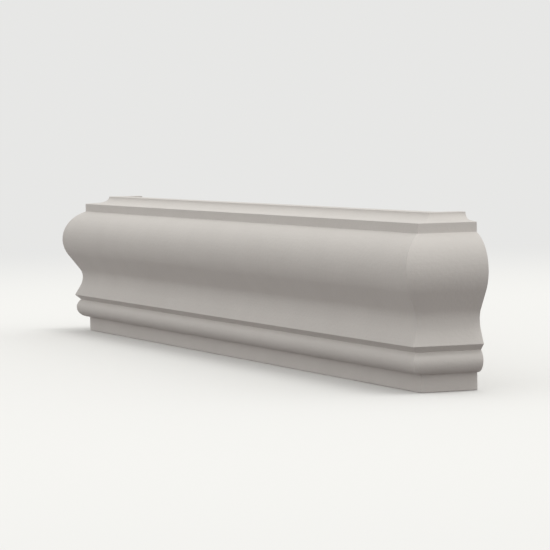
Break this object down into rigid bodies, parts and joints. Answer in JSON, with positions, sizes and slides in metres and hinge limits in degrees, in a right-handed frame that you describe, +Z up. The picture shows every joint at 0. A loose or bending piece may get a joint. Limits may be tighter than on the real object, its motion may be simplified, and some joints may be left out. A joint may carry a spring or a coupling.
{
  "type": "windowsill cornice moulding",
  "caption": "Cornice moulding for under a window sill: bulged ogee over a hollow neck, sharp lip, half-round and plinth, with a mitred return to the wall at each end.",
  "frame": {"origin": "middle of the footprint of the bounding box, on the level that the base stands on", "axes": "+X along the front run, -Y out of the moulded front, +Y towards the wall, +Z up"},
  "size_m": [0.9062, 0.076, 0.15],
  "materials": {
    "coating": "matt off-white mineral coating, smooth with a very fine grain"
  },
  "bodies": {
    "root": {"cornice_moulding": "coating"}
  },
  "joints": []
}
